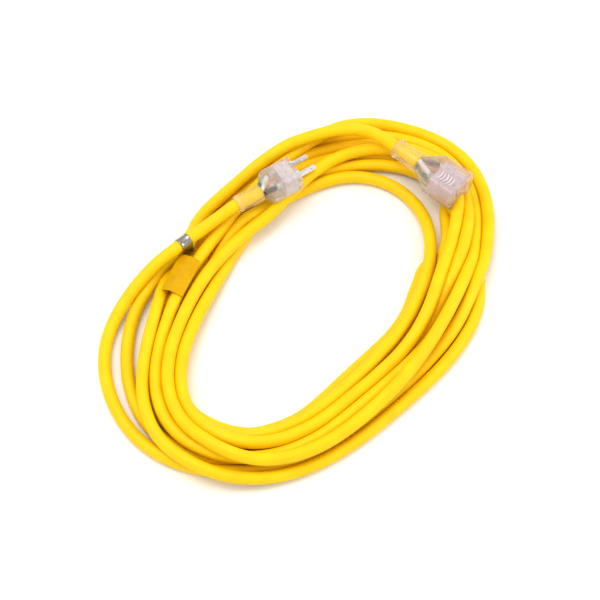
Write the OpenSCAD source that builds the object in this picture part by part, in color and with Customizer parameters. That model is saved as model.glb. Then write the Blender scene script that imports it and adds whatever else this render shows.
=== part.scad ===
// Coiled outdoor extension cord with clear moulded ends.
// Millimetres, +Z up, lying on z = 0, long axis of the coil along X.

/* [Cord] */
// Outside diameter of the yellow jacket
cord_d = 10.9; // [9:0.1:12]
// Diameter of one insulated conductor
wire_d = 3.8; // [3:0.1:4.2]
// Diameter of a bare stranded conductor
strand_d = 2.4; // [1.8:0.1:2.6]

/* [Coil] */
// Height of the two layers of turns
coil_h = 21.5; // [20:0.5:24]
// Room between the coil and the pieces that can be lifted off it
rest_gap = 0.3; // [0.2:0.1:1]

/* [Plug] */
// Width of the plug body
plug_w = 28; // [26:1:32]
// Length of the plug body
plug_len = 32; // [30:1:36]
// Height of the body above the blades
plug_above = 8.3; // [7.5:0.1:10]
// Height of the body below the blades
plug_below = 16.4; // [15.5:0.1:18]
// Length of the neck over the cord
plug_neck_len = 28; // [20:1:32]
// Direction that the plug points in
plug_yaw = -13; // [-20:1:-8]

/* [Connector] */
// Width of the connector body
conn_w = 33; // [31:1:36]
// Height of the connector body
conn_h = 25; // [24:1:28]
// Length of the connector body
conn_len = 43; // [41:1:48]
// Length of its shoulders
conn_shoulder = 14; // [8:1:18]
// Length of the neck over the cord
conn_neck_len = 29; // [20:1:32]
// Direction that the connector points in
conn_yaw = -87; // [-92:1:-84]

/* [Blades and contacts] */
// Distance between the two blades, centre to centre
blade_pitch = 12.7; // [12.7]
// Width of a blade
blade_w = 6.35; // [6.35]
// Thickness of a blade
blade_t = 1.5; // [1.5]
// Length of a blade in front of the face
blade_len = 17.5; // [16:0.1:18.2]
// Diameter of the hole near a blade's tip
blade_hole_d = 3.1; // [3:0.1:3.2]
// Distance from the face to that hole
blade_hole_x = 11.7; // [11.7]
// Diameter of the ground pin
pin_d = 4.75; // [4.75]
// How far the ground pin stands out of the face
pin_len = 20.6; // [19:0.1:21]
// Distance from the blades down to the ground pin
pin_drop = 11.9; // [11.9]
// Diameter of the connector's ground hole
hole_d = 5.3; // [5.2:0.1:5.6]
// Depth of the connector's slots and ground hole
hole_depth = 22; // [21:1:24]

/* [Band and label] */
// Length of the metal band along the cord
band_w = 11; // [8:1:14]
// Thickness of the band
band_t = 0.8; // [0.5:0.1:1.5]
// Length of the blank flag label
label_len = 38; // [30:1:60]
// Width of the label
label_w = 20; // [15:1:30]
// Thickness of the label
label_t = 0.8; // [0.6:0.1:1.5]

/* [Hidden] */
$fn = 48;
cord_r = cord_d / 2;
// Height of a lead's centre line where it lies on the coil
lead_z = coil_h + rest_gap + cord_r;

// Distance from the middle of the coil to the outermost and the innermost run, every 30 degrees from +X
outer_reach = [196, 180, 144, 127, 135, 181, 196, 173, 141.8, 127.5, 134.5, 157];
inner_reach = [131, 127, 97, 80, 84, 108, 144, 132, 88, 77, 88, 107];
coil_steps = 72;

// Middle of the plug's face at the height of its blades, and the neck's axis below them
plug_face = [69.5, 85, coil_h + rest_gap + plug_below];
plug_axis_z = -5;
plug_neck_r = [8.4, 7.4];
plug_corner_r = 7;
// Middle of the connector's face, and the blade slots above its centre
conn_face = [154.5, -34, coil_h + rest_gap + conn_h / 2];
conn_slot_z = 4.2;
conn_neck_r = [9.4, 8.6];
conn_corner_r = 5;

// Where the band grips both leads, one above the other
band_pos = [-45, 107.5, lead_z];
band_yaw = 174.5;
// Where the label lies on the coil
label_at = [-67, 89.1, coil_h];
label_yaw = 20;

// Places given from the middle of each end's face, forwards, left and up
function plug_at(p) = plug_face + [p[0] * cos(plug_yaw) - p[1] * sin(plug_yaw), p[0] * sin(plug_yaw) + p[1] * cos(plug_yaw), p[2]];
function conn_at(p) = conn_face + [p[0] * cos(conn_yaw) - p[1] * sin(conn_yaw), p[0] * sin(conn_yaw) + p[1] * cos(conn_yaw), p[2]];

// Routes of the two leads that stay with the coil, each from its free end down into the turns: hand-chosen points
banded_route = [[-36, 106.6, lead_z], [-45, 107.5, lead_z], [-53, 108.3, lead_z - 0.1], [-66, 109.2, 24.4],
    [-80, 110.2, 20.4], [-95, 110.6, 16]];
lead_route = [[147, 72.4, 29.6], [144.4, 78.6, 28.6], [138.5, 86, 27.8], [129, 94, lead_z], [119, 100.2, lead_z],
    [106, 106.6, lead_z], [92, 112.8, 26.4], [78, 117.2, 23.6], [60, 121, 19.6], [42, 122.6, 16]];
// Routes of the two leads that can be lifted, from there to the necks
plug_route = [[-35.7, 106.57, lead_z], [-24, 105.4, lead_z], [-13, 104.2, lead_z + 0.5], [-3, 102.4, 29.4],
    plug_at([-plug_len - plug_neck_len - 5, 0, plug_axis_z]), plug_at([-plug_len - plug_neck_len + 0.3, 0, plug_axis_z])];
conn_route = [[147.22, 71.88, 29.68], [149.3, 66, 31], [150.3, 58, 32.6], [150.5, 50, 33.8],
    conn_at([-conn_len - conn_neck_len - 5, 0, 0]), conn_at([-conn_len - conn_neck_len + 0.3, 0, 0])];

// Places inside the ends, from the face back
insert_len = 13;
crimp_len = 6;
crimp_d = 4.4;
blade_tail = 17;
pin_shank_d = 4;
jacket_x = -35;
conn_jacket_x = -47;
spread = 2.7;
cavity_gap = 0.05;
wire_gap = 1.4;
bore_gap = 0.1;
contact_t = 0.5;
contact_len = 16;
carrier_front = 2.5;
slot_size = [blade_w + 0.9, 2.1];
neutral_slot_size = [blade_w + 2.3, 2.1];
blue_grey_clear = [0.80, 0.74, 0.76, 0.35];

// ---------- helpers ----------

function wrap(list, i) = list[(i + len(list)) % len(list)];

// Smooth closed curve through the values of a list, read at station s
function smooth_reach(list, s) =
    let (i = floor(s), t = s - i, a = wrap(list, i - 1), b = wrap(list, i), c = wrap(list, i + 1), d = wrap(list, i + 2))
    0.5 * (2 * b + (c - a) * t + (2 * a - 5 * b + 4 * c - d) * t * t + (3 * b - a - 3 * c + d) * t * t * t);

function ring_outline(list, grow) = [for (k = [0 : coil_steps - 1])
    let (s = k * len(list) / coil_steps, a = 360 * k / coil_steps, r = smooth_reach(list, s) + grow)
    [r * cos(a), r * sin(a)]];

function unit(v) = v / norm(v);
function tangent_at(p, i) = unit(p[min(i + 1, len(p) - 1)] - p[max(i - 1, 0)]);

// One closed polyhedron swept along a list of points
module swept_cord(points, r, sides = 12) {
    rings = [for (i = [0 : len(points) - 1])
        let (t = tangent_at(points, i), side = unit(cross([0, 0, 1], t)), up = cross(t, side))
        for (k = [0 : sides - 1]) points[i] + r * (cos(360 * k / sides) * side + sin(360 * k / sides) * up)];
    last = len(points) - 1;
    walls = [for (i = [0 : last - 1]) for (k = [0 : sides - 1])
        [i * sides + k, i * sides + (k + 1) % sides, (i + 1) * sides + (k + 1) % sides, (i + 1) * sides + k]];
    caps = [[for (k = [0 : sides - 1]) sides - 1 - k], [for (k = [0 : sides - 1]) last * sides + k]];
    polyhedron(rings, [for (f = concat(walls, caps)) [for (k = [len(f) - 1 : -1 : 0]) f[k]]]);
}

// Smooth open curve through a list of points, with n steps between each two
function smooth_route(p, n) = [for (i = [0 : len(p) - 2]) for (k = [0 : i == len(p) - 2 ? n : n - 1])
    let (t = k / n, a = p[max(i - 1, 0)], b = p[i], c = p[i + 1], d = p[min(i + 2, len(p) - 1)])
    0.5 * (2 * b + (c - a) * t + (2 * a - 5 * b + 4 * c - d) * t * t + (3 * b - a - 3 * c + d) * t * t * t)];

module wire_sweep(points, d) { swept_cord(smooth_route(points, 2), d / 2, 10); }

module rounded_rect(size, r) {
    square([size[0] - 2 * r, size[1]], center = true);
    square([size[0], size[1] - 2 * r], center = true);
    for (x = [-1, 1]) for (y = [-1, 1])
        translate([x * (size[0] / 2 - r), y * (size[1] / 2 - r)]) circle(r);
}

module at_plug() { translate(plug_face) rotate([0, 0, plug_yaw]) children(); }
module at_connector() { translate(conn_face) rotate([0, 0, conn_yaw]) children(); }

// Stretch of round bar along X, from x0 to x1
module bar_x(x0, x1, d) { translate([x0, 0, 0]) rotate([0, 90, 0]) cylinder(h = x1 - x0, d = d); }

// ---------- coil, band and label ----------

module cord_coil() {
    color("gold") difference() {
        linear_extrude(coil_h) difference() {
            polygon(ring_outline(outer_reach, cord_r));
            polygon(ring_outline(inner_reach, -cord_r));
        }
        swept_cord(banded_route, cord_r + cavity_gap);
        swept_cord(lead_route, cord_r + cavity_gap);
        at_band() linear_extrude(band_w + 0.4, center = true) difference() {
            band_section(cord_r + 0.2 + band_t);
            band_section(cord_r);
        }
    }
}

module banded_cord() { color("gold") swept_cord(banded_route, cord_r); }
module lead_cord() { color("gold") swept_cord(lead_route, cord_r); }

module band_section(r) {
    circle(r);
    translate([0, -cord_d]) circle(r);
    translate([-r, -cord_d]) square([2 * r, cord_d]);
}

module at_band() { translate(band_pos) rotate([0, 0, band_yaw - 90]) rotate([90, 0, 0]) children(); }

module metal_band() {
    color("silver") at_band() linear_extrude(band_w, center = true) difference() {
        band_section(cord_r + 0.1 + band_t);
        band_section(cord_r + 0.1);
    }
}

module flag_label() {
    color("goldenrod") translate(label_at) rotate([0, 0, label_yaw])
        linear_extrude(label_t) rounded_rect([label_len, label_w], 1.5);
}

// ---------- plug ----------

plug_wire_x0 = -plug_len - 3;
plug_crimp_x = -blade_tail;
// Where each conductor meets its crimp: line, neutral, ground
plug_crimp_at = [[plug_crimp_x, -blade_pitch / 2, 0], [plug_crimp_x, blade_pitch / 2, 0], [plug_crimp_x, 0, -pin_drop]];
// Where each conductor leaves the jacket
plug_jacket_at = [[jacket_x, -spread, plug_axis_z - 1.2], [jacket_x, 0, plug_axis_z + spread],
    [jacket_x, spread, plug_axis_z - 1.2]];

// A conductor's route from inside the jacket to the back of its crimp: line, neutral, ground
function plug_wire_route(i) = let (c = plug_crimp_at[i], j = plug_jacket_at[i])
    concat([j - [7.5, 0, 0], j - [1, 0, 0], j + [1.5, 0, 0]],
        i == 0 ? [[-29, -4.6, -3]] : i == 1 ? [[-29, 3.2, -0.9]] : [[-31, 5.2, -7], [-27.6, 2.6, -11]],
        [[c[0] - crimp_len - wire_gap, c[1], c[2]]]);

module plug_tail_cord() { color("gold") swept_cord(plug_route, cord_r); }

module plug_jacket_end() {
    color("gold") at_plug() difference() {
        translate([0, 0, plug_axis_z]) bar_x(-plug_len - plug_neck_len + 0.4, jacket_x, cord_d);
        for (j = plug_jacket_at) translate([0, j[1], j[2]]) bar_x(jacket_x - 8, jacket_x + 1, wire_d + 2 * bore_gap);
    }
}

module plug_shape() {
    h = plug_above + plug_below;
    mid = (plug_above - plug_below) / 2;
    intersection() {
        translate([-plug_len, 0, mid]) rotate([90, 0, 90]) linear_extrude(plug_len)
            rounded_rect([plug_w, h], plug_corner_r);
        translate([-plug_len / 2, 0, -plug_below - 1]) linear_extrude(h + 2) {
            rounded_rect([plug_len, plug_w], 4);
            translate([plug_len / 4, 0]) rounded_rect([plug_len / 2, plug_w], 1.2);
        }
        translate([0, plug_w / 2 + 1, 0]) rotate([90, 0, 0]) linear_extrude(plug_w + 2)
            translate([-plug_len / 2, mid]) {
                rounded_rect([plug_len, h], 4);
                translate([plug_len / 4, 0]) rounded_rect([plug_len / 2, h], 1.2);
            }
    }
    translate([-plug_len - plug_neck_len, 0, plug_axis_z]) rotate([0, 90, 0])
        cylinder(h = plug_neck_len + 1, r1 = plug_neck_r[1], r2 = plug_neck_r[0]);
}

module blade_blank(grow = 0) {
    translate([-blade_tail, -blade_t / 2 - grow, -blade_w / 2 - grow])
        cube([blade_tail + blade_len, blade_t + 2 * grow, blade_w + 2 * grow]);
}

module pin_blank(grow = 0) {
    translate([0, 0, -pin_drop]) {
        bar_x(-blade_tail, 0.01, pin_shank_d + 2 * grow);
        bar_x(0, pin_len - pin_d / 2, pin_d + 2 * grow);
        translate([pin_len - pin_d / 2, 0, 0]) sphere(d = pin_d + 2 * grow);
    }
}

module blade(y) {
    at_plug() translate([0, y, 0]) difference() {
        blade_blank();
        translate([blade_hole_x, blade_t, 0]) rotate([90, 0, 0]) cylinder(h = 2 * blade_t, d = blade_hole_d);
        for (z = [-1, 1]) translate([blade_len, blade_t, z * blade_w / 2]) rotate([90, 45, 0])
            translate([0, 0, 0]) linear_extrude(2 * blade_t) square(1.6, center = true);
    }
}

module line_blade() { color("silver") blade(-blade_pitch / 2); }
module neutral_blade() { color("silver") blade(blade_pitch / 2); }
module ground_pin() { color("silver") at_plug() pin_blank(); }

module insert_block(grow = 0) {
    translate([-insert_len - 3 - grow, -10 - grow, -15 - grow]) cube([insert_len + 2 * grow, 20 + 2 * grow, 19.5 + 2 * grow]);
    translate([-12.5, -1.5, 4.5 - grow]) cylinder(h = 1.5 + 2 * grow, d = 8 + 2 * grow);
}

module plug_insert() {
    color([0.86, 0.82, 0.74, 0.8]) at_plug() difference() {
        insert_block();
        for (y = [-1, 1]) translate([0, y * blade_pitch / 2, 0]) blade_blank(cavity_gap);
        pin_blank(cavity_gap);
        translate([-12.5, -1.5, 5]) cylinder(h = 2, d = 5.6);
    }
}

module crimp_barrel(p, back, outer_d) {
    translate([0, p[1], p[2]]) difference() {
        bar_x(p[0] - crimp_len, p[0], outer_d);
        bar_x(p[0] - crimp_len - back, p[0] - 1, strand_d);
    }
}

module plug_crimps() {
    color("silver") at_plug() for (p = plug_crimp_at) crimp_barrel(p, 1, crimp_d);
}

module plug_strands() {
    color("chocolate") at_plug() for (p = plug_crimp_at)
        translate([0, p[1], p[2]]) bar_x(p[0] - crimp_len, p[0] - 1, strand_d);
}

module plug_wire(i) { at_plug() wire_sweep(plug_wire_route(i), wire_d); }
module plug_black_wire() { color("black") plug_wire(0); }
module plug_white_wire() { color("white") plug_wire(1); }
module plug_green_wire() { color("green") plug_wire(2); }

module plug_body() {
    color(blue_grey_clear) at_plug() difference() {
        plug_shape();
        insert_block(cavity_gap);
        for (y = [-1, 1]) translate([0, y * blade_pitch / 2, 0]) blade_blank(cavity_gap);
        pin_blank(cavity_gap);
        translate([0, 0, plug_axis_z]) bar_x(-plug_len - plug_neck_len - 1, jacket_x + cavity_gap, cord_d + 2 * cavity_gap);
        for (p = plug_crimp_at) translate([0, p[1], p[2]])
            bar_x(p[0] - crimp_len - cavity_gap, p[0] + 1, crimp_d + 2 * cavity_gap);
        for (i = [0 : 2]) wire_sweep(plug_wire_route(i), wire_d + 2 * cavity_gap);
    }
}

// ---------- connector ----------

conn_crimp_x = -carrier_front - contact_len - 4;
conn_crimp_at = [[conn_crimp_x, blade_pitch / 2, conn_slot_z], [conn_crimp_x, -blade_pitch / 2, conn_slot_z],
    [conn_crimp_x, 0, conn_slot_z - pin_drop]];
conn_jacket_at = [[conn_jacket_x, spread, -1.2], [conn_jacket_x, 0, spread], [conn_jacket_x, -spread, -1.2]];

function conn_wire_route(i) = let (c = conn_crimp_at[i], j = conn_jacket_at[i])
    concat([j - [7.5, 0, 0], j - [1, 0, 0], j + [1.5, 0, 0]],
        i == 0 ? [[-38, 5.2, 0.8]] : i == 1 ? [[-38, -3.2, 4]] : [[-41, -5.6, -3.2], [-35, -3, -6.8]],
        [[c[0] - crimp_len - wire_gap, c[1], c[2]]]);

module connector_tail_cord() { color("gold") swept_cord(conn_route, cord_r); }

module connector_jacket_end() {
    color("gold") at_connector() difference() {
        bar_x(-conn_len - conn_neck_len + 0.4, conn_jacket_x, cord_d);
        for (j = conn_jacket_at) translate([0, j[1], j[2]])
            bar_x(conn_jacket_x - 8, conn_jacket_x + 1, wire_d + 2 * bore_gap);
    }
}

module connector_shape() {
    intersection() {
        translate([-conn_len, 0, 0]) rotate([90, 0, 90]) linear_extrude(conn_len)
            rounded_rect([conn_w, conn_h], conn_corner_r);
        translate([0, 0, -conn_h / 2 - 1]) linear_extrude(conn_h + 2) union() {
            translate([-(conn_len - conn_shoulder) / 2, 0]) rounded_rect([conn_len - conn_shoulder, conn_w], 1.2);
            polygon([[-conn_len, -conn_neck_r[0]], [-conn_len + conn_shoulder + 2, -conn_w / 2],
                [-conn_len + conn_shoulder + 2, conn_w / 2], [-conn_len, conn_neck_r[0]]]);
        }
        translate([0, conn_w / 2 + 1, 0]) rotate([90, 0, 0]) linear_extrude(conn_w + 2)
            polygon([[0, -conn_h / 2], [0, conn_h / 2], [-conn_len + conn_shoulder, conn_h / 2],
                [-conn_len, conn_neck_r[0]], [-conn_len, -conn_neck_r[0]], [-conn_len + conn_shoulder, -conn_h / 2]]);
    }
    translate([-conn_len - conn_neck_len, 0, 0]) rotate([0, 90, 0])
        cylinder(h = conn_neck_len + 1, r1 = conn_neck_r[1], r2 = conn_neck_r[0]);
    // Grip ribs across the top
    for (i = [0 : 4]) translate([-13 - 3 * i, 0, conn_h / 2]) rotate([90, 0, 0])
        translate([0, 0, -5]) cylinder(h = 10, d = 1.6);
}

// Everything that the blades and the ground pin of a plug go into
module connector_ways(grow = 0) {
    translate([-hole_depth, blade_pitch / 2 - slot_size[1] / 2, conn_slot_z - slot_size[0] / 2])
        cube([hole_depth + 1, slot_size[1], slot_size[0]]);
    translate([-hole_depth, -blade_pitch / 2 - slot_size[1] / 2, conn_slot_z - neutral_slot_size[0] / 2])
        cube([hole_depth + 1, neutral_slot_size[1], neutral_slot_size[0]]);
    translate([0, 0, conn_slot_z - pin_drop]) bar_x(-hole_depth, 1, hole_d);
}

carrier_len = hole_depth + 1;
module carrier_block(grow = 0) {
    translate([-carrier_front - carrier_len - grow, -11 - grow, -11 - grow])
        cube([carrier_len + 2 * grow, 22 + 2 * grow, 20.5 + 2 * grow]);
}

// Two springy leaves and the strip that joins them at the back
module leaf_pair(y, height, grow = 0) {
    gap = blade_t;
    x0 = -carrier_front - 2 - contact_len;
    for (s = [-1, 1]) translate([x0 - grow, y + s * (gap + contact_t) / 2 - contact_t / 2 - grow, conn_slot_z - height / 2 - grow])
        cube([contact_len + 2 * grow, contact_t + 2 * grow, height + 2 * grow]);
    translate([x0 - contact_t - grow, y - gap / 2 - contact_t - grow, conn_slot_z - height / 2 - grow])
        cube([contact_t + 2 * grow, gap + 2 * contact_t + 2 * grow, height + 2 * grow]);
    translate([conn_crimp_x - grow, y - contact_t / 2 - grow, conn_slot_z - 1.6 - grow])
        cube([x0 - contact_t - conn_crimp_x + 2 * grow, contact_t + 2 * grow, 3.2 + 2 * grow]);
}

module ground_sleeve(grow = 0) {
    x0 = -carrier_front - 2 - contact_len;
    translate([0, 0, conn_slot_z - pin_drop]) {
        difference() {
            bar_x(x0 - grow, x0 + contact_len + grow, hole_d + 2 * contact_t + 2 * grow);
            if (grow == 0) bar_x(x0 - 1, x0 + contact_len + 1, hole_d);
            if (grow == 0) translate([x0 - 1, -0.6, 0]) cube([contact_len + 2, 1.2, 5]);
        }
        translate([conn_crimp_x - grow, -1.6 - grow, -hole_d / 2 - contact_t - grow])
            cube([x0 - conn_crimp_x + 2 + 2 * grow, 3.2 + 2 * grow, contact_t + 2 * grow]);
    }
}

module contact_carrier() {
    color([0.82, 0.78, 0.72, 0.9]) at_connector() difference() {
        carrier_block();
        connector_ways();
        leaf_pair(blade_pitch / 2, blade_w, cavity_gap);
        leaf_pair(-blade_pitch / 2, blade_w + 1.4, cavity_gap);
        ground_sleeve(cavity_gap);
        for (p = conn_crimp_at) translate([0, p[1], p[2]])
            bar_x(p[0] - crimp_len - 1, p[0] + cavity_gap, crimp_d + 2 * cavity_gap);
    }
}

module line_contact() { color("goldenrod") at_connector() leaf_pair(blade_pitch / 2, blade_w); }
module neutral_contact() { color("goldenrod") at_connector() leaf_pair(-blade_pitch / 2, blade_w + 1.4); }
module ground_contact() { color("goldenrod") at_connector() ground_sleeve(); }

module connector_crimps() {
    color("silver") at_connector() for (p = conn_crimp_at) crimp_barrel(p, 1, crimp_d);
}

module connector_strands() {
    color("chocolate") at_connector() for (p = conn_crimp_at)
        translate([0, p[1], p[2]]) bar_x(p[0] - crimp_len, p[0] - 1, strand_d);
}

module conn_wire(i) { at_connector() wire_sweep(conn_wire_route(i), wire_d); }
module connector_black_wire() { color("black") conn_wire(0); }
module connector_white_wire() { color("white") conn_wire(1); }
module connector_green_wire() { color("green") conn_wire(2); }

module connector_body() {
    color(blue_grey_clear) at_connector() difference() {
        connector_shape();
        connector_ways();
        carrier_block(cavity_gap);
        bar_x(-conn_len - conn_neck_len - 1, conn_jacket_x + cavity_gap, cord_d + 2 * cavity_gap);
        for (p = conn_crimp_at) translate([0, p[1], p[2]])
            bar_x(p[0] - crimp_len - cavity_gap, p[0] + 1, crimp_d + 2 * cavity_gap);
        for (i = [0 : 2]) wire_sweep(conn_wire_route(i), wire_d + 2 * cavity_gap);
    }
}

cord_coil();
banded_cord();
lead_cord();
metal_band();
flag_label();
plug_tail_cord();
plug_jacket_end();
plug_body();
plug_insert();
line_blade();
neutral_blade();
ground_pin();
plug_crimps();
plug_strands();
plug_black_wire();
plug_white_wire();
plug_green_wire();
connector_tail_cord();
connector_jacket_end();
connector_body();
contact_carrier();
line_contact();
neutral_contact();
ground_contact();
connector_crimps();
connector_strands();
connector_black_wire();
connector_white_wire();
connector_green_wire();
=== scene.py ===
"""Looks of a coiled yellow extension cord with clear moulded ends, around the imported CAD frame."""
import math

import bpy
import numpy as np
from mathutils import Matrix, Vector


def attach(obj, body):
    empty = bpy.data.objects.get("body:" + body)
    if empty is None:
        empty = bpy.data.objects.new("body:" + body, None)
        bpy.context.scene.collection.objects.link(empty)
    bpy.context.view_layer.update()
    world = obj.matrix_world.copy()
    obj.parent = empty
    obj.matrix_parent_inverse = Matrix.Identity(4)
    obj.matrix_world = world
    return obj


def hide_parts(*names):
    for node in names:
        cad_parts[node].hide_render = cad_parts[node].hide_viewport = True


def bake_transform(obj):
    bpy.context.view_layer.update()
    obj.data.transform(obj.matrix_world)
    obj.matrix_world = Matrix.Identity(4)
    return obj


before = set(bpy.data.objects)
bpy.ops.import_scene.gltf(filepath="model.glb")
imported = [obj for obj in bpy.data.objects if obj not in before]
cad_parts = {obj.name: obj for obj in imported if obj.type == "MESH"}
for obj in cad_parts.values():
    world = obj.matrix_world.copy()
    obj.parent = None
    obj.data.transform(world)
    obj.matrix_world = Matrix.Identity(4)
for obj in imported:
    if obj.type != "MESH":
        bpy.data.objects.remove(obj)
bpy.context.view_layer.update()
scene = bpy.context.scene
MM = 0.001

# ---------------------------------------------------------------- camera

CAMERA_AZIMUTH, CAMERA_ELEVATION = math.radians(-46.5), math.radians(60)
CAMERA_DISTANCE = 1.6
CAMERA_SIDESTEP = -0.00905
CAMERA_LENS, CAMERA_SENSOR, CAMERA_REACH = 111.4, 36, 20
right = Vector((math.cos(CAMERA_AZIMUTH), math.sin(CAMERA_AZIMUTH), 0))
ahead = Vector((-math.sin(CAMERA_AZIMUTH), math.cos(CAMERA_AZIMUTH), 0))
back = -ahead * math.cos(CAMERA_ELEVATION) + Vector((0, 0, math.sin(CAMERA_ELEVATION)))
camera = bpy.data.objects.new("camera", bpy.data.cameras.new("camera"))
scene.collection.objects.link(camera)
camera.data.lens = CAMERA_LENS
camera.data.sensor_width = CAMERA_SENSOR
camera.data.clip_end = CAMERA_REACH
camera.location = back * CAMERA_DISTANCE + right * CAMERA_SIDESTEP
camera.rotation_mode = "QUATERNION"
camera.rotation_quaternion = (-back).to_track_quat("-Z", "Y")
scene.camera = camera

# ---------------------------------------------------------------- cord routes, in mm

CORD_D = 10.9
CORD_R = CORD_D / 2
# How far apart a cord's points are: while it settles, in the coil's mesh, and in the leads' meshes
CORD_STEP, FINE_STEP, LEAD_STEP = 6.0, 3.0, 2.5
# Reach from the coil's middle and height, every 30 degrees anticlockwise from the first. The two sets are
# the cord's two halves, from the metal band to the fold. Each row but the first and last is one turn.
STATION = 30
FIRST_STATION = 150
PLUG_TURNS = [
    [(183, 5.5), (197, 5.5), (164, 5.5), (129, 5.5), (116, 5.5), (124, 13), (155, 15)],
    [(201, 7), (177, 8), (125, 15), (98, 15), (104, 15), (126, 14),
     (174, 14), (160, 14), (117, 14), (106, 14), (116, 15), (137, 17)],
    [(162, 10), (146, 5.5), (111, 5.5), (83, 5.5), (85, 8), (105, 12),
     (154, 15), (147, 18), (104, 16), (98, 17), (105, 19), (130, 17)],
    [(171, 14), (148, 15), (91, 16), (83, 16), (90, 16), (113, 19),
     (163, 20), (168, 22), (130, 21), (113, 22), (117, 23), (142, 17)],
    [(190, 6), (170, 5.5), (141, 5.5), (125, 5.5), (112, 8), (137, 14),
     (188, 14), (173, 8), (133, 5.5), (126, 6), (138, 5.5)],
]
CONNECTOR_TURNS = [
    [(161, 5.5), (184, 5.5), (152, 5.5), (116, 5.5), (102, 5.5), (103, 15), (133, 18)],
    [(179, 14), (160, 6), (130, 5.5), (114, 5.5), (113, 5.5), (133, 5.5),
     (173, 5.5), (145, 5.5), (107, 5.5), (90, 5.5), (97, 10), (122, 16)],
    [(168, 7), (151, 5.5), (119, 5.5), (104, 5.5), (104, 5.5), (121, 5.5),
     (162, 5.5), (144, 13), (95, 11), (84, 13.5), (91, 15), (107, 15)],
    [(135, 5.5), (130, 5.5), (98, 5.5), (92, 5.5), (95, 5.5), (110, 5.5),
     (152, 5.5), (141, 5.5), (86, 5.5), (76, 5.5), (92, 5.5)],
]
# Where the doubled cord turns back, under the other turns. FOLD_HELD points on each side of its tip stay
# where they are wound.
FOLD_CENTRE, FOLD_HEADING, FOLD_R, FOLD_HELD = (92, -77.8, CORD_R), math.radians(34), 25.5, 6

# Ends of the coil, from the metal band down into the turns
PLUG_LEAD = [(-45, 107.5, 27.25), (-53, 108.3, 27.15), (-66, 109.2, 24.4), (-80, 110.2, 20.4),
             (-95, 110.6, 15), (-108, 110, 11), (-127, 107.3, 6)]
CONNECTOR_LEAD = [(-45, 107.5, 16.35), (-54, 108.2, 15.9), (-66, 108.6, 13.5), (-85, 109, 10),
                  (-105, 105, 7)]

# How the cord settles. Each round pulls it back towards its route, drops it, and stiffens it between points
# that are 1, 3 and 6 apart.
ROUNDS, QUICK_ROUNDS = 400, 60
PULL_BACK, DROP = 0.02, 0.03
STIFFNESS = ((1, 0.25), (3, 0.05), (6, 0.02))
# Contacts are looked for every few rounds, within a reach, and not between close neighbours on the cord
SEARCH_EVERY, SEARCH_REACH, NEIGHBOURS, CONTACT_PASSES = 8, 18.0, 6, 2
# The leads stay where they are, with this many of the coil's points beside each
ENDS_HELD = 3
# The fold's tip is about this share of the way along the cord from the plug
FOLD_SHARE, SHARE_MARGIN = 0.58, 0.08


def catmull(points, steps=8):
    """Points of a smooth curve through the given ones, with that many steps between each two."""
    p = np.array(points, float)
    q = np.vstack([2 * p[0] - p[1], p, 2 * p[-1] - p[-2]])
    t = np.linspace(0, 1, steps, endpoint=False)[:, None]
    out = []
    for i in range(1, len(q) - 2):
        a, b, c, d = q[i - 1:i + 3]
        out.append(0.5 * (2 * b + (c - a) * t + (2 * a - 5 * b + 4 * c - d) * t * t
                          + (3 * b - a - 3 * c + d) * t ** 3))
    return np.vstack(out + [p[-1:]])


def even(points, step):
    """The same line with points a step apart."""
    s = np.r_[0, np.cumsum(np.linalg.norm(np.diff(points, axis=0), axis=1))]
    u = np.linspace(0, s[-1], max(2, int(round(s[-1] / step)) + 1))
    return np.stack([np.interp(u, s, points[:, k]) for k in range(3)], 1)


def wind(turns):
    """Points along the turns: one at each station, and one between each two."""
    stations = [(FIRST_STATION + STATION * i, r, h) for i, (r, h) in enumerate(sum(turns, []))]
    q = catmull(stations, 2)
    a = np.radians(q[:, 0])
    return np.stack([q[:, 1] * np.cos(a), q[:, 1] * np.sin(a), np.maximum(q[:, 2], CORD_R)], 1)


def end_point(origin, yaw, p):
    """Place given from the middle of an end's face: forwards, left and up."""
    c, s = math.cos(yaw), math.sin(yaw)
    return (origin[0] + p[0] * c - p[1] * s, origin[1] + p[0] * s + p[1] * c, origin[2] + p[2])


PLUG_FACE, PLUG_YAW = (69.5, 85, 38.2), math.radians(-13)
CONNECTOR_FACE, CONNECTOR_YAW = (154.5, -34, 34.3), math.radians(-87)
# From the band to inside each end
PLUG_TAIL = [(-45, 107.5, 27.25), (-35.7, 106.57, 27.25), (-24, 105.4, 27.25), (-13, 104.2, 27.75),
             (-3, 102.4, 29.4)]
PLUG_TAIL += [end_point(PLUG_FACE, PLUG_YAW, (x, 0, -5)) for x in (-65, -59.7, -47, -35)]
CONNECTOR_TAIL = [(-45, 107.5, 16.35), (-38, 108.4, 16.35), (-30, 113, 16.4), (-20, 118, 16.6),
                  (-5, 121.4, 16.4), (14, 122.6, 16.1), (42, 122.6, 16.4), (60, 121, 19.6),
                  (78, 117.2, 23.6), (92, 112.8, 26.4), (106, 106.6, 27.25), (119, 100.2, 27.25),
                  (129, 94, 27.25), (138.5, 86, 27.8), (144.4, 78.6, 28.6), (147, 72.4, 29.6),
                  (149.3, 66, 31), (150.3, 58, 32.6), (150.5, 50, 33.8)]
CONNECTOR_TAIL += [end_point(CONNECTOR_FACE, CONNECTOR_YAW, (x, 0, 0)) for x in (-77, -71.7, -59, -47)]


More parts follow.
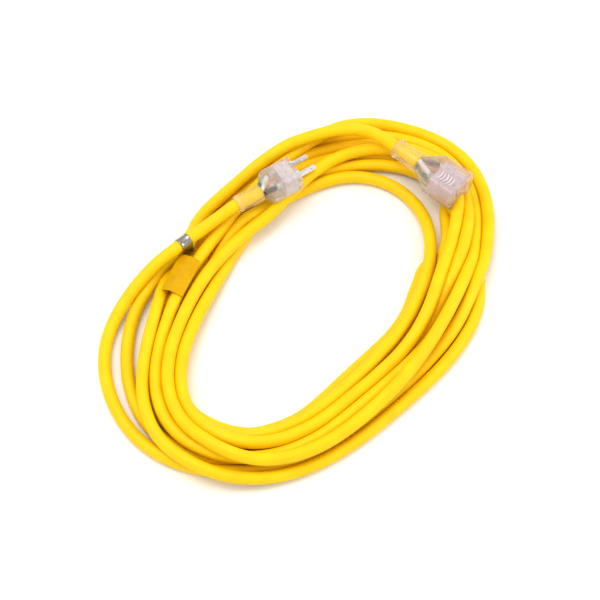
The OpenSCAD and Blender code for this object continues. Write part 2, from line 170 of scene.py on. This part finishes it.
def coil_route():
    """The coil as wound, from the band round to the fold and back round to the band, and the fold's tip."""
    on = np.array([math.cos(FOLD_HEADING), math.sin(FOLD_HEADING), 0])
    out = np.array([on[1], -on[0], 0])
    centre = np.array(FOLD_CENTRE)
    half_turn = np.radians(range(90, -91, -30))
    fold = [centre + FOLD_R * (math.sin(t) * out + math.cos(t) * on) for t in half_turn]
    points = PLUG_LEAD + list(wind(PLUG_TURNS)) + fold
    points += list(wind(CONNECTOR_TURNS))[::-1] + CONNECTOR_LEAD[::-1]
    return catmull(points), centre + FOLD_R * on


def spring(y, gap, strength):
    """Bending stiffness between points that are gap nodes apart."""
    lag = np.zeros_like(y)
    lag[gap:-gap] = (y[:-2 * gap] + y[2 * gap:]) / 2 - y[gap:-gap]
    push = np.zeros_like(y)
    push[2 * gap:-2 * gap] = lag[2 * gap:-2 * gap] - (lag[gap:-3 * gap] + lag[3 * gap:-gap]) / 2
    return y + strength * push


def near_pairs(x, held):
    """Points i and segments j that may touch, apart from neighbours on the cord and those held still."""
    apart = ((x[:, None, :] - x[None, :, :]) ** 2).sum(2)
    i, j = np.where(apart < SEARCH_REACH ** 2)
    pair = (np.abs(i - j) > NEIGHBOURS) & (j < len(x) - 1) & ~(held[i] & held[j])
    return i[pair], j[pair]


def push_apart(y, i, j):
    """Moves each point i and segment j apart where the cord would pass through itself."""
    start, along = y[j], y[j + 1] - y[j]
    t = np.clip(((y[i] - start) * along).sum(1) / (along * along).sum(1), 0, 1)
    gap = y[i] - start - along * t[:, None]
    far = np.linalg.norm(gap, axis=1) + 1e-9
    close = far < CORD_D
    away, push = gap[close] / far[close][:, None], (CORD_D - far[close]) / 2
    move, count = np.zeros_like(y), np.zeros(len(y))
    shares = ((i, np.ones(len(i))), (j, t - 1), (j + 1, -t))
    for who, share in shares:
        np.add.at(move, who[close], away * (push * share[close])[:, None])
        np.add.at(count, who[close], np.abs(share[close]))
    return y + move / np.maximum(count, 1)[:, None]


def settle(x, held, rounds):
    """Lets the cord come to rest: near its route, not below the floor, smooth, and not through itself."""
    target = x.copy()
    for done in range(rounds):
        if done % SEARCH_EVERY == 0:
            i, j = near_pairs(x, held)
        y = x + PULL_BACK * (target - x)
        y[:, 2] -= DROP
        for gap, strength in STIFFNESS:
            y = spring(y, gap, strength)
        for _ in range(CONTACT_PASSES):
            y[held] = x[held]
            y = push_apart(y, i, j)
            y[:, 2] = np.maximum(y[:, 2], CORD_R)
        y[held] = x[held]
        x = y
    return x


def lay_cord():
    """The settled coil, in mm."""
    route, tip = coil_route()
    coil = even(route, CORD_STEP)
    plug_tail, connector_tail = (even(catmull(p, 6), CORD_STEP)[1:] for p in (PLUG_TAIL, CONNECTOR_TAIL))
    whole = np.vstack([plug_tail[::-1], coil, connector_tail])
    held = np.zeros(len(whole), bool)
    held[:len(plug_tail) + ENDS_HELD] = True
    held[-len(connector_tail) - ENDS_HELD:] = True
    middle = np.abs(np.arange(len(whole)) / len(whole) - FOLD_SHARE) < SHARE_MARGIN
    fold = int(np.where(middle, np.linalg.norm(whole - tip, axis=1), np.inf).argmin())
    held[fold - FOLD_HELD:fold + FOLD_HELD + 1] = True
    whole = settle(whole, held, ROUNDS)
    return whole[len(plug_tail):len(whole) - len(connector_tail)]


# ---------------------------------------------------------------- making meshes


def new_piece(name, verts, faces, smooth=True, uv=None):
    """Object with a mesh given in mm. Each point's UV is given in the same order."""
    mesh = bpy.data.meshes.new(name)
    mesh.from_pydata([tuple(float(c) * MM for c in v) for v in verts], [], faces)
    mesh.validate()
    if smooth:
        mesh.polygons.foreach_set("use_smooth", [True] * len(mesh.polygons))
    if uv is not None:
        layer = mesh.uv_layers.new(name="UVMap")
        corner = np.zeros(len(mesh.loops), int)
        mesh.loops.foreach_get("vertex_index", corner)
        layer.data.foreach_set("uv", np.array(uv, float)[corner].ravel())
    mesh.update()
    piece = bpy.data.objects.new(name, mesh)
    scene.collection.objects.link(piece)
    return piece


def tube_data(points, radius, sides):
    """Rings about a line that is never upright, with closed ends. U runs round and back, V is in metres."""
    p = np.array(points, float)
    t = np.gradient(p, axis=0)
    t /= np.linalg.norm(t, axis=1)[:, None]
    side = np.cross([0, 0, 1.0], t)
    side /= np.linalg.norm(side, axis=1)[:, None]
    up = np.cross(t, side)
    r = np.broadcast_to(np.array(radius, float), (len(p),))
    s = np.r_[0, np.cumsum(np.linalg.norm(np.diff(p, axis=0), axis=1))]
    angle = np.linspace(0, 2 * math.pi, sides, endpoint=False)[None, :, None]
    ring = np.cos(angle) * side[:, None, :] + np.sin(angle) * up[:, None, :]
    verts = (p[:, None, :] + r[:, None, None] * ring).reshape(-1, 3)
    around = np.abs(np.linspace(-1, 1, sides, endpoint=False))
    uv = np.stack([np.tile(around, len(p)), np.repeat(s * MM, sides)], 1)
    n = len(p)
    faces = []
    for i in range(n - 1):
        for k in range(sides):
            a, b = i * sides + k, i * sides + (k + 1) % sides
            faces.append((a + sides, b + sides, b, a))
    first, last = len(verts), len(verts) + 1
    verts = np.vstack([verts, p[:1], p[-1:]])
    uv = np.vstack([uv, [[0, 0]], [[0, s[-1] * MM]]])
    faces += [(first, k, (k + 1) % sides) for k in range(sides)]
    faces += [(last, (n - 1) * sides + (k + 1) % sides, (n - 1) * sides + k) for k in range(sides)]
    return verts, faces, uv


def tube(name, points, radius, sides=24):
    """Piece that follows the points."""
    verts, faces, uv = tube_data(points, radius, sides)
    return new_piece(name, verts, faces, uv=uv)


LEAST_FLAT = 0.01


def rounded_ring(half, low, high, r, count):
    """Outline of a rounded rectangle, across and up, with the same number of points for each shape."""
    r = min(r, half - LEAST_FLAT, (high - low) / 2 - LEAST_FLAT)
    out = []
    for k in range(count):
        a = 2 * math.pi * (k + 0.5) / count
        cy, cz = math.cos(a), math.sin(a)
        # A circle stretched to the rectangle, whose corners are then rounded
        m = max(abs(cy), abs(cz))
        y, z = cy / m * half, cz / m * (high - low) / 2
        qy, qz = abs(y) - (half - r), abs(z) - ((high - low) / 2 - r)
        if qy > 0 and qz > 0:
            d = math.hypot(qy, qz)
            y = math.copysign(half - r + qy / d * r, y)
            z = math.copysign((high - low) / 2 - r + qz / d * r, z)
        out.append((y, z + (high + low) / 2))
    return out


def loft(sections, count=72):
    """Closed skin through rounded rectangles (x, half width, low, high, corner radius), front to back."""
    verts, faces = [], []
    for x, half, low, high, r in sections:
        verts += [(x, y, z) for y, z in rounded_ring(half, low, high, r, count)]
    n = len(sections)
    for i in range(n - 1):
        for k in range(count):
            a, b = i * count + k, i * count + (k + 1) % count
            faces.append((a + count, b + count, b, a))
    for ring, forward in ((0, True), (n - 1, False)):
        x, half, low, high, r = sections[ring]
        verts.append((x, 0, (low + high) / 2))
        for k in range(count):
            a, b = ring * count + k, ring * count + (k + 1) % count
            faces.append((a, b, len(verts) - 1) if forward else (b, a, len(verts) - 1))
    return np.array(verts, float), faces


def blend_sections(keys, step):
    """Sections between the given ones, by a smooth curve."""
    q = catmull(keys, 12)
    s = np.r_[0, np.cumsum(np.maximum(np.linalg.norm(np.diff(q[:, :4], axis=0), axis=1), 1e-6))]
    u = np.linspace(0, s[-1], int(s[-1] / step))
    return [tuple(np.interp(v, s, q[:, k]) for k in range(5)) for v in u]


def at_end(verts, origin, yaw):
    return [end_point(origin, yaw, v) for v in verts]


# ---------------------------------------------------------------- materials


class Look:
    """A node material. Its noise is fixed to the object."""

    def __init__(self, name):
        self.mat = bpy.data.materials.new(name)
        self.mat.use_nodes = True
        self.nodes, self.links = self.mat.node_tree.nodes, self.mat.node_tree.links
        self.shader = self.nodes["Principled BSDF"]
        self.place = self.nodes.new("ShaderNodeTexCoord").outputs["Object"]

    def set(self, **values):
        """Values for the shader's own sockets."""
        for key, value in values.items():
            self.shader.inputs[key.replace("_", " ")].default_value = value

    def noise(self, scale, detail=3, stretch=None):
        """Noise from 0 to 1."""
        node = self.nodes.new("ShaderNodeTexNoise")
        node.inputs["Scale"].default_value = scale
        node.inputs["Detail"].default_value = detail
        source = self.place
        if stretch:
            mapping = self.nodes.new("ShaderNodeMapping")
            mapping.inputs["Scale"].default_value = stretch
            self.links.new(source, mapping.inputs["Vector"])
            source = mapping.outputs["Vector"]
        self.links.new(source, node.inputs["Vector"])
        return node.outputs["Fac"]

    def colour(self, source, stops):
        """Base colour that goes through the stops as the source rises."""
        node = self.nodes.new("ShaderNodeValToRGB")
        while len(node.color_ramp.elements) < len(stops):
            node.color_ramp.elements.new(0.5)
        for element, (at, colour) in zip(node.color_ramp.elements, stops):
            element.position, element.color = at, (*colour, 1)
        self.links.new(source, node.inputs["Fac"])
        self.links.new(node.outputs["Color"], self.shader.inputs["Base Color"])

    def span(self, source, low, high, socket):
        """Spreads the source between low and high, for a socket."""
        node = self.nodes.new("ShaderNodeMapRange")
        node.inputs["To Min"].default_value, node.inputs["To Max"].default_value = low, high
        self.links.new(source, node.inputs["Value"])
        self.links.new(node.outputs["Result"], self.shader.inputs[socket])

    def bump(self, source, distance):
        """Relief as high as the distance in metres, on top of any that is there."""
        node = self.nodes.new("ShaderNodeBump")
        node.inputs["Distance"].default_value = distance
        if self.shader.inputs["Normal"].is_linked:
            self.links.new(self.shader.inputs["Normal"].links[0].from_socket, node.inputs["Normal"])
        self.links.new(source, node.inputs["Height"])
        self.links.new(node.outputs["Normal"], self.shader.inputs["Normal"])


def linear(r, g, b):
    """Linear colour of an sRGB one given from 0 to 255."""
    return tuple(c / 12.92 / 255 if c <= 10 else ((c / 255 + 0.055) / 1.055) ** 2.4 for c in (r, g, b))


jacket = Look("yellow_jacket")
jacket.colour(jacket.noise(60, 4),
              [(0.25, linear(240, 197, 2)), (0.55, linear(246, 204, 5)), (0.8, linear(250, 210, 12))])
jacket.set(Specular_IOR_Level=0.32, Subsurface_Weight=0.06, Subsurface_Scale=0.003)
jacket.shader.inputs["Subsurface Radius"].default_value = (1.0, 0.7, 0.1)
jacket.span(jacket.noise(35, 3), 0.4, 0.54, "Roughness")
jacket.bump(jacket.noise(1500, 3), 0.00006)
jacket.bump(jacket.noise(220, 2), 0.0001)


def clear_look(name, tint, alpha, transmission, rough):
    """Clear plastic, with patches of a paler tint."""
    look = Look(name)
    paler = [min(255, c + 12) for c in tint]
    look.colour(look.noise(120, 3), [(0.3, linear(*tint)), (0.7, linear(*paler))])
    look.set(IOR=1.46, Transmission_Weight=transmission, Alpha=alpha, Coat_Weight=0.5, Coat_Roughness=0.08)
    look.span(look.noise(90, 2), rough, rough + 0.08, "Roughness")
    look.bump(look.noise(260, 2), 0.00008)
    return look


clear = clear_look("clear_pvc", (250, 240, 242), 0.66, 0.74, 0.06)
clear_dark = clear_look("clear_pvc_connector", (236, 218, 222), 0.7, 0.72, 0.08)
neck = clear_look("clear_pvc_neck", (252, 246, 240), 0.34, 0.8, 0.1)
# Grip ribs' plastic: a frosted finish, made paler than the shell as a painted highlight
frosted_painted_highlight = clear_look("frosted_pvc_painted_highlight", (246, 236, 238), 0.85, 0.35, 0.2)
insert = Look("insert_plastic")
insert.colour(insert.noise(150, 3), [(0.3, linear(240, 226, 228)), (0.7, linear(251, 242, 242))])
insert.set(Alpha=0.8, Transmission_Weight=0.15, IOR=1.46, Subsurface_Weight=0.2, Subsurface_Scale=0.002)
insert.span(insert.noise(200, 2), 0.22, 0.35, "Roughness")
insert.bump(insert.noise(500, 3), 0.00006)


def metal_look(name, dark, light, rough, grain, stretch=None):
    """Metal with a mottled grain, or a streaked one where it is stretched."""
    look = Look(name)
    look.colour(look.noise(grain, 4, stretch=stretch), [(0.25, linear(*dark)), (0.75, linear(*light))])
    look.set(Metallic=1.0)
    look.span(look.noise(grain * 1.7, 3, stretch=stretch), rough, rough + 0.16, "Roughness")
    look.bump(look.noise(grain * 2.5, 2, stretch=stretch), 0.00003)
    return look


blade_metal = metal_look("blade_metal", (205, 205, 203), (238, 237, 233), 0.16, 160, (1, 1, 9))
band_metal = metal_look("band_metal", (96, 88, 80), (214, 210, 200), 0.18, 90, (1, 1, 6))
contact_metal = metal_look("contact_brass", (176, 128, 52), (226, 186, 98), 0.25, 150)
crimp_metal = metal_look("crimp_metal", (168, 166, 160), (214, 212, 206), 0.3, 200)
copper_metal = metal_look("copper", (150, 74, 38), (214, 126, 78), 0.3, 900, (1, 6, 6))


def insulation(name, low, high):
    """Plastic round a conductor."""
    look = Look(name)
    look.colour(look.noise(200, 3), [(0.3, linear(*low)), (0.7, linear(*high))])
    look.span(look.noise(300, 2), 0.3, 0.45, "Roughness")
    look.bump(look.noise(1200, 2), 0.00004)
    look.set(Coat_Weight=0.15)
    return look


black_wire = insulation("black_insulation", (14, 14, 15), (30, 30, 32))
white_wire = insulation("white_insulation", (226, 226, 222), (246, 246, 243))
green_wire = insulation("green_insulation", (18, 112, 74), (34, 146, 98))
label_vinyl = Look("label_vinyl")
label_vinyl.colour(label_vinyl.noise(70, 4), [(0.3, linear(206, 156, 0)), (0.7, linear(222, 174, 2))])
label_vinyl.span(label_vinyl.noise(120, 3), 0.3, 0.48, "Roughness")
label_vinyl.bump(label_vinyl.noise(160, 3), 0.0002)
label_vinyl.set(Specular_IOR_Level=0.2)


def paint(piece, look):
    piece.data.materials.clear()
    piece.data.materials.append(look.mat)
    return piece


# ---------------------------------------------------------------- the three lengths of cord

coil_line = even(catmull(lay_cord(), 3), FINE_STEP)
plug_line = even(catmull(PLUG_TAIL), LEAD_STEP)
connector_line = even(catmull(CONNECTOR_TAIL), LEAD_STEP)

coil = paint(tube("coiled_cord", coil_line, CORD_R, 20), jacket)
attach(coil, "coil")
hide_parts("cord_coil", "banded_cord")

plug_cord = paint(tube("plug_lead", plug_line, CORD_R, 24), jacket)
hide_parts("plug_tail_cord", "plug_jacket_end")
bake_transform(plug_cord)

connector_cord = paint(tube("connector_lead", connector_line, CORD_R, 24), jacket)
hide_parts("lead_cord", "connector_tail_cord", "connector_jacket_end")
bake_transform(connector_cord)

# ---------------------------------------------------------------- moulded ends


def smoothed(piece, angle=50):
    """Smooth shading, with a sharp edge where the surface turns by more than the angle."""
    piece.data.polygons.foreach_set("use_smooth", [True] * len(piece.data.polygons))
    piece.data.set_sharp_from_angle(angle=math.radians(angle))


def clear_neck(piece, origin, yaw, rim, x):
    """Clearer plastic between x and the rim, where the shell fits closely round the cord."""
    piece.data.materials.append(neck.mat)
    forwards, face = Vector((math.cos(yaw), math.sin(yaw), 0)), Vector(origin) * MM
    for polygon in piece.data.polygons:
        if rim * MM < (polygon.center - face).dot(forwards) < x * MM:
            polygon.material_index = 1


# Clearer stretch of each neck, from the rim forwards
PLUG_NECK, CONNECTOR_NECK = (-56.5, -33.5), (-68.5, -45)
# Plug: rounded shoe with a neck below the blades' middle, and a soft rim at the neck's end. Each key is
# x, half width, low, high and corner radius, from the face's middle.
PLUG_KEYS = [
    (0, 12.6, -15.0, 6.9, 5.6), (-0.35, 13.5, -15.9, 7.8, 6.5), (-1.3, 14, -16.4, 8.3, 7),
    (-12, 14, -16.4, 8.3, 7), (-25, 14, -16.4, 8.3, 7), (-29.2, 13.2, -15.9, 7.7, 7.2),
    (-31.2, 11.0, -14.9, 5.6, 7.6), (-32.2, 9.0, -13.9, 3.9, 8.9), (-34, 8.4, -13.4, 3.4, 8.4),
    (-45, 8.0, -13.0, 3.0, 8.0), (-55, 7.6, -12.6, 2.6, 7.6), (-57, 7.9, -12.9, 2.9, 7.9),
    (-59, 7.7, -12.7, 2.7, 7.7), (-60, 6.9, -11.9, 1.9, 6.9)]
verts, faces = loft(blend_sections(PLUG_KEYS, 0.8))
plug_shell = new_piece("plug_shell", at_end(verts, PLUG_FACE, PLUG_YAW), faces)
smoothed(paint(plug_shell, clear))
clear_neck(plug_shell, PLUG_FACE, PLUG_YAW, *PLUG_NECK)
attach(plug_shell, "plug_end")
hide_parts("plug_body")

# Connector: flat sided, narrowing through its shoulders to the neck, with five grip ribs across the top
CONNECTOR_KEYS = [
    (0, 15.6, -11.6, 11.6, 4.2), (-0.3, 16.2, -12.2, 12.2, 4.7), (-1.1, 16.5, -12.5, 12.5, 5),
    (-14, 16.5, -12.5, 12.5, 5), (-28, 16.5, -12.5, 12.5, 5), (-31, 15.6, -12.1, 12.1, 5.6),
    (-38, 11.8, -10.6, 10.6, 8), (-42.6, 9.7, -9.6, 9.6, 9.5), (-46, 9.3, -9.3, 9.3, 9.3),
    (-58, 9.0, -9.0, 9.0, 9.0), (-67, 8.7, -8.7, 8.7, 8.7), (-69.5, 9.1, -9.1, 9.1, 9.1),
    (-71.2, 8.9, -8.9, 8.9, 8.9), (-72, 7.9, -7.9, 7.9, 7.9)]
verts, faces = loft(blend_sections(CONNECTOR_KEYS, 0.5), 96)
connector_shell = new_piece("connector_shell", at_end(verts, CONNECTOR_FACE, CONNECTOR_YAW), faces)


def cutter(parts):
    """One mesh of boxes and round bars along x, used only to cut openings."""
    all_verts, all_faces = [], []
    for x0, x1, y, z, wide, tall, r in parts:
        section = (wide / 2, z - tall / 2, z + tall / 2, r)
        verts, faces = loft([(x1, *section), (x0, *section)], 32)
        verts[:, 1] += y
        all_faces += [tuple(i + len(all_verts) for i in face) for face in faces]
        all_verts += [tuple(vert) for vert in verts]
    return all_verts, all_faces


SLOT_Z, PIN_DROP, BLADE_PITCH, HOLE_DEPTH, HOLE_START = 4.2, 11.9, 12.7, 22, 1
SLOT_WIDE, LINE_SLOT_TALL, NEUTRAL_SLOT_TALL, HOLE_D = 2.1, 7.25, 8.65, 5.3
EASE, SLOT_CORNER, HOLE_CORNER = 0.3, 0.4, 2.8
line_slot = (BLADE_PITCH / 2, SLOT_Z, SLOT_WIDE + EASE, LINE_SLOT_TALL + EASE, SLOT_CORNER)
neutral_slot = (-BLADE_PITCH / 2, SLOT_Z, SLOT_WIDE + EASE, NEUTRAL_SLOT_TALL + EASE, SLOT_CORNER)
ground_hole = (0, SLOT_Z - PIN_DROP, HOLE_D + EASE, HOLE_D + EASE, HOLE_CORNER)
verts, faces = cutter([(-HOLE_DEPTH, HOLE_START, *way) for way in (line_slot, neutral_slot, ground_hole)])
tool = new_piece("slot_cutter", at_end(verts, CONNECTOR_FACE, CONNECTOR_YAW), faces, smooth=False)
cut = connector_shell.modifiers.new("slots", "BOOLEAN")
cut.operation, cut.solver, cut.object = "DIFFERENCE", "EXACT", tool
bpy.context.view_layer.update()
evaluated = connector_shell.evaluated_get(bpy.context.evaluated_depsgraph_get())
cut_mesh = bpy.data.meshes.new_from_object(evaluated)
connector_shell.modifiers.clear()
connector_shell.data = cut_mesh
bpy.data.objects.remove(tool)
smoothed(paint(connector_shell, clear_dark), 35)
clear_neck(connector_shell, CONNECTOR_FACE, CONNECTOR_YAW, *CONNECTOR_NECK)
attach(connector_shell, "connector_end")
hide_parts("connector_body")

# Five curved ribs across the connector's top, each thinner towards its ends. Their paler, more opaque
# plastic is partly a frosted finish and partly a painted highlight along the ribs.
RIB_X, RIB_Y, RIB_TOP, RIB_PITCH, RIB_COUNT = -7, -4.5, 12.6, 3.1, 5
RIB_REACH, RIB_HALF_ANGLE, RIB_POINTS, RIB_R = 7.5, 42, 13, 0.75
rib_verts, rib_faces = [], []
rib_radii = RIB_R * np.sin(np.linspace(0.15, math.pi - 0.15, RIB_POINTS)) ** 0.4
for i in range(RIB_COUNT):
    arc = [(RIB_X - RIB_PITCH * i - RIB_REACH * (1 - math.cos(a)), RIB_Y + RIB_REACH * math.sin(a), RIB_TOP)
           for a in np.radians(np.linspace(-RIB_HALF_ANGLE, RIB_HALF_ANGLE, RIB_POINTS))]
    verts, faces, _ = tube_data(arc, rib_radii, 10)
    rib_faces += [tuple(k + len(rib_verts) for k in face) for face in faces]
    rib_verts += [tuple(vert) for vert in verts]
ribs = new_piece("grip_ribs", at_end(rib_verts, CONNECTOR_FACE, CONNECTOR_YAW), rib_faces)
paint(ribs, frosted_painted_highlight)
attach(ribs, "connector_end")

# ---------------------------------------------------------------- band and label

BAND_AT, BAND_YAW = (-45, 107.5, 27.25), math.radians(174.5)
BAND_IN = CORD_R + 0.1
BAND_ARC, BAND_FLAT = 24, 6
SEAM_HEIGHT, SEAM_LOW, SEAM_TOP = 0.25, -0.75 * CORD_D, -0.2 * CORD_D
# Places along the cord, and how far out the metal is there
BAND_PROFILE = [(-5.5, 0.25), (-5.2, 0.6), (-4.7, 0.8), (-4.1, 0.72), (-3.7, 0.45), (-2, 0.4), (0, 0.42),
                (2, 0.4), (3.7, 0.45), (4.1, 0.72), (4.7, 0.8), (5.2, 0.6), (5.5, 0.25), (5.5, 0.0),
                (0, 0.0), (-5.5, 0.0)]


def band_mesh():
    """Pressed metal strip round two stacked cords, with a bead along each edge and a folded seam."""
    half_turn = [math.pi * k / (BAND_ARC - 1) for k in range(BAND_ARC)]
    outline = [((math.cos(a), math.sin(a)), (0, 0)) for a in half_turn]
    outline += [((-1, 0), (0, -CORD_D * k / BAND_FLAT)) for k in range(1, BAND_FLAT)]
    outline += [((math.cos(math.pi + a), math.sin(math.pi + a)), (0, -CORD_D)) for a in half_turn]
    outline += [((1, 0), (0, -CORD_D * k / BAND_FLAT)) for k in range(BAND_FLAT - 1, 0, -1)]
    n, m = len(outline), len(BAND_PROFILE)
    out = []
    for (nx, nz), (cx, cz) in outline:
        seam = SEAM_HEIGHT if nx < -0.99 and SEAM_LOW < cz < SEAM_TOP else 0.0
        for along, lift in BAND_PROFILE:
            grow = BAND_IN + (lift + seam if lift > 0 else 0)
            out.append((along, cx + nx * grow, cz + nz * grow))
    rings = [(i * m + k, i * m + (k + 1) % m, ((i + 1) % n) * m + (k + 1) % m, ((i + 1) % n) * m + k)
             for i in range(n) for k in range(m)]
    return out, rings


verts, faces = band_mesh()
band = new_piece("cord_band", at_end(verts, BAND_AT, BAND_YAW), faces)
smoothed(paint(band, band_metal), 60)
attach(band, "coil")
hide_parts("metal_band")

LABEL_AT, LABEL_YAW = (-67, 89.1, 22.4), math.radians(20)
LABEL_HALF_L, LABEL_HALF_W, LABEL_T, LABEL_CORNER = 19, 10, 0.35, 1.5
LABEL_CELLS = (28, 16)


def label_mesh():
    """Thin tag, wrapped softly down over the cords it lies on."""
    verts, faces = [], []
    nu, nv = LABEL_CELLS
    flat_l, flat_w = LABEL_HALF_L - LABEL_CORNER, LABEL_HALF_W - LABEL_CORNER
    for side in (0, 1):
        for i in range(nu + 1):
            for k in range(nv + 1):
                u, w = i / nu * 2 - 1, k / nv * 2 - 1
                x, y = LABEL_HALF_L * u, LABEL_HALF_W * w
                qx, qy = abs(x) - flat_l, abs(y) - flat_w
                if qx > 0 and qy > 0:
                    d = math.hypot(qx, qy) / max(qx, qy)
                    x, y = math.copysign(flat_l + qx / d, x), math.copysign(flat_w + qy / d, y)
                # Crowned over the cords, turned down towards its edges, with a slight twist
                z = (0.9 * math.cos(w * 2.4) * (1 - 0.2 * u) - 1.3 * w * w - 0.5 * u * u
                     + 0.25 * math.sin(3 * u + 1.5 * w))
                verts.append((x, y, z + (LABEL_T if side else 0)))

    def at(side, i, k):
        return side * (nu + 1) * (nv + 1) + i * (nv + 1) + k

    for i in range(nu):
        for k in range(nv):
            faces.append((at(1, i, k), at(1, i + 1, k), at(1, i + 1, k + 1), at(1, i, k + 1)))
            faces.append((at(0, i, k), at(0, i, k + 1), at(0, i + 1, k + 1), at(0, i + 1, k)))
    for i in range(nu):
        faces.append((at(0, i, 0), at(0, i + 1, 0), at(1, i + 1, 0), at(1, i, 0)))
        faces.append((at(0, i + 1, nv), at(0, i, nv), at(1, i, nv), at(1, i + 1, nv)))
    for k in range(nv):
        faces.append((at(0, 0, k + 1), at(0, 0, k), at(1, 0, k), at(1, 0, k + 1)))
        faces.append((at(0, nu, k), at(0, nu, k + 1), at(1, nu, k + 1), at(1, nu, k)))
    return verts, faces


verts, faces = label_mesh()
label = new_piece("blank_label", at_end(verts, LABEL_AT, LABEL_YAW), faces)
smoothed(paint(label, label_vinyl), 60)
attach(label, "coil")
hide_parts("flag_label")

# The plug's ground wire, with a slack loop that shows at the plug's left
WIRE_R = 1.9
GREEN_ROUTE = [(-42, 2.7, -6.2), (-35.5, 2.7, -6.2), (-33.3, 3.6, -5.9), (-31, 6.8, -4.6),
               (-28.4, 9.4, -3.6), (-25.8, 9.8, -5), (-25.6, 8, -8.4), (-27.2, 4.8, -11), (-27, 1.6, -11.9),
               (-24.4, 0, -11.9)]
green_line = even(catmull(GREEN_ROUTE, 6), 1.0)
green = tube("plug_ground_wire", at_end(green_line, PLUG_FACE, PLUG_YAW), WIRE_R, 16)
paint(green, green_wire)
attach(green, "plug_end")
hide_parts("plug_green_wire")

# ---------------------------------------------------------------- CAD parts that stay

FINISHES = {
    "plug_insert": (insert, "insert_plastic"), "contact_carrier": (insert, "insert_plastic"),
    "line_blade": (blade_metal, "blade_metal"), "neutral_blade": (blade_metal, "blade_metal"),
    "ground_pin": (blade_metal, "blade_metal"),
    "line_contact": (contact_metal, "contact_brass"), "neutral_contact": (contact_metal, "contact_brass"),
    "ground_contact": (contact_metal, "contact_brass"),
    "plug_crimps": (crimp_metal, "crimp_metal"), "connector_crimps": (crimp_metal, "crimp_metal"),
    "plug_strands": (copper_metal, "copper"), "connector_strands": (copper_metal, "copper"),
    "plug_black_wire": (black_wire, "black_insulation"),
    "connector_black_wire": (black_wire, "black_insulation"),
    "plug_white_wire": (white_wire, "white_insulation"),
    "connector_white_wire": (white_wire, "white_insulation"),
    "connector_green_wire": (green_wire, "green_insulation"),
}
for node, (look, slot) in FINISHES.items():
    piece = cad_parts[node]
    paint(piece, look)
    smoothed(piece, 40)

# ---------------------------------------------------------------- floor and light

FLOOR_HALF = 3000
corners = [(FLOOR_HALF * x, FLOOR_HALF * y, 0) for x, y in ((-1, -1), (1, -1), (1, 1), (-1, 1))]
floor = new_piece("floor", corners, [(0, 1, 2, 3)])
floor_look = Look("floor")
floor_look.colour(floor_look.noise(3, 2), [(0.3, (0.90, 0.90, 0.90)), (0.7, (0.93, 0.93, 0.93))])
floor_look.set(Roughness=0.9, Specular_IOR_Level=0.1)
paint(floor, floor_look)

world = bpy.data.worlds.new("studio")
scene.world = world
world.use_nodes = True
background = world.node_tree.nodes["Background"]
background.inputs["Color"].default_value = (1, 1, 1, 1)
background.inputs["Strength"].default_value = 0.8


def softbox(name, where, size, power):
    """Square light that looks at the origin."""
    light = bpy.data.objects.new(name, bpy.data.lights.new(name, "AREA"))
    light.data.shape, light.data.size, light.data.energy = "SQUARE", size, power
    light.location = where
    light.rotation_mode = "QUATERNION"
    light.rotation_quaternion = (-Vector(where)).to_track_quat("-Z", "Y")
    scene.collection.objects.link(light)


softbox("key", (-0.25, 0.45, 2.0), 1.2, 14)
softbox("fill", (1.3, -1.1, 0.9), 0.7, 6)
scene.view_settings.view_transform = "Standard"
scene.view_settings.look = "Medium High Contrast"
